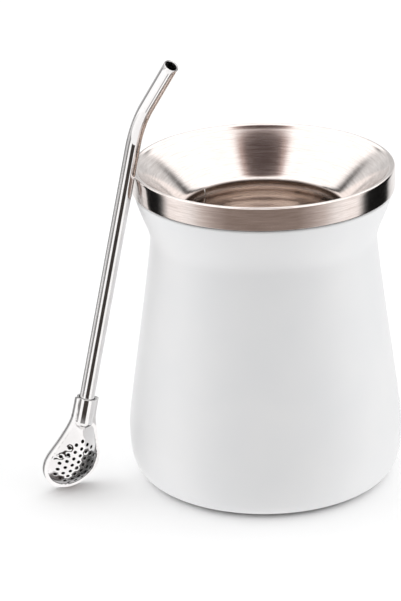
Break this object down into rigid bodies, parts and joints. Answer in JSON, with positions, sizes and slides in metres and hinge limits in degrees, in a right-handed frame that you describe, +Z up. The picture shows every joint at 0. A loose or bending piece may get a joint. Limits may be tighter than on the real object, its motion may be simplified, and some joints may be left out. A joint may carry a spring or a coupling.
{
  "type": "mate cup with bombilla",
  "caption": "Empty white mate cup of double-walled steel with a brushed funnel mouth, and a bent steel bombilla with a perforated filter spoon leaning on its rim.",
  "frame": {"origin": "centre of the cup's flat base, on the surface that it stands on", "axes": "+Z up along the cup's axis, -Y towards the picture's viewer, and the bombilla on the -X side"},
  "size_m": [0.12, 0.0916, 0.1497],
  "materials": {
    "white_coating": "satin white powder coat with a very fine grain",
    "brushed_steel": "steel brushed round the cup's axis, with a faint warm tone",
    "polished_steel": "polished stainless steel"
  },
  "bodies": {
    "root": {"cup_shell": "white_coating", "steel_liner": "brushed_steel", "bombilla_tube": "polished_steel", "filter_front": "polished_steel", "filter_back": "polished_steel"}
  },
  "joints": []
}
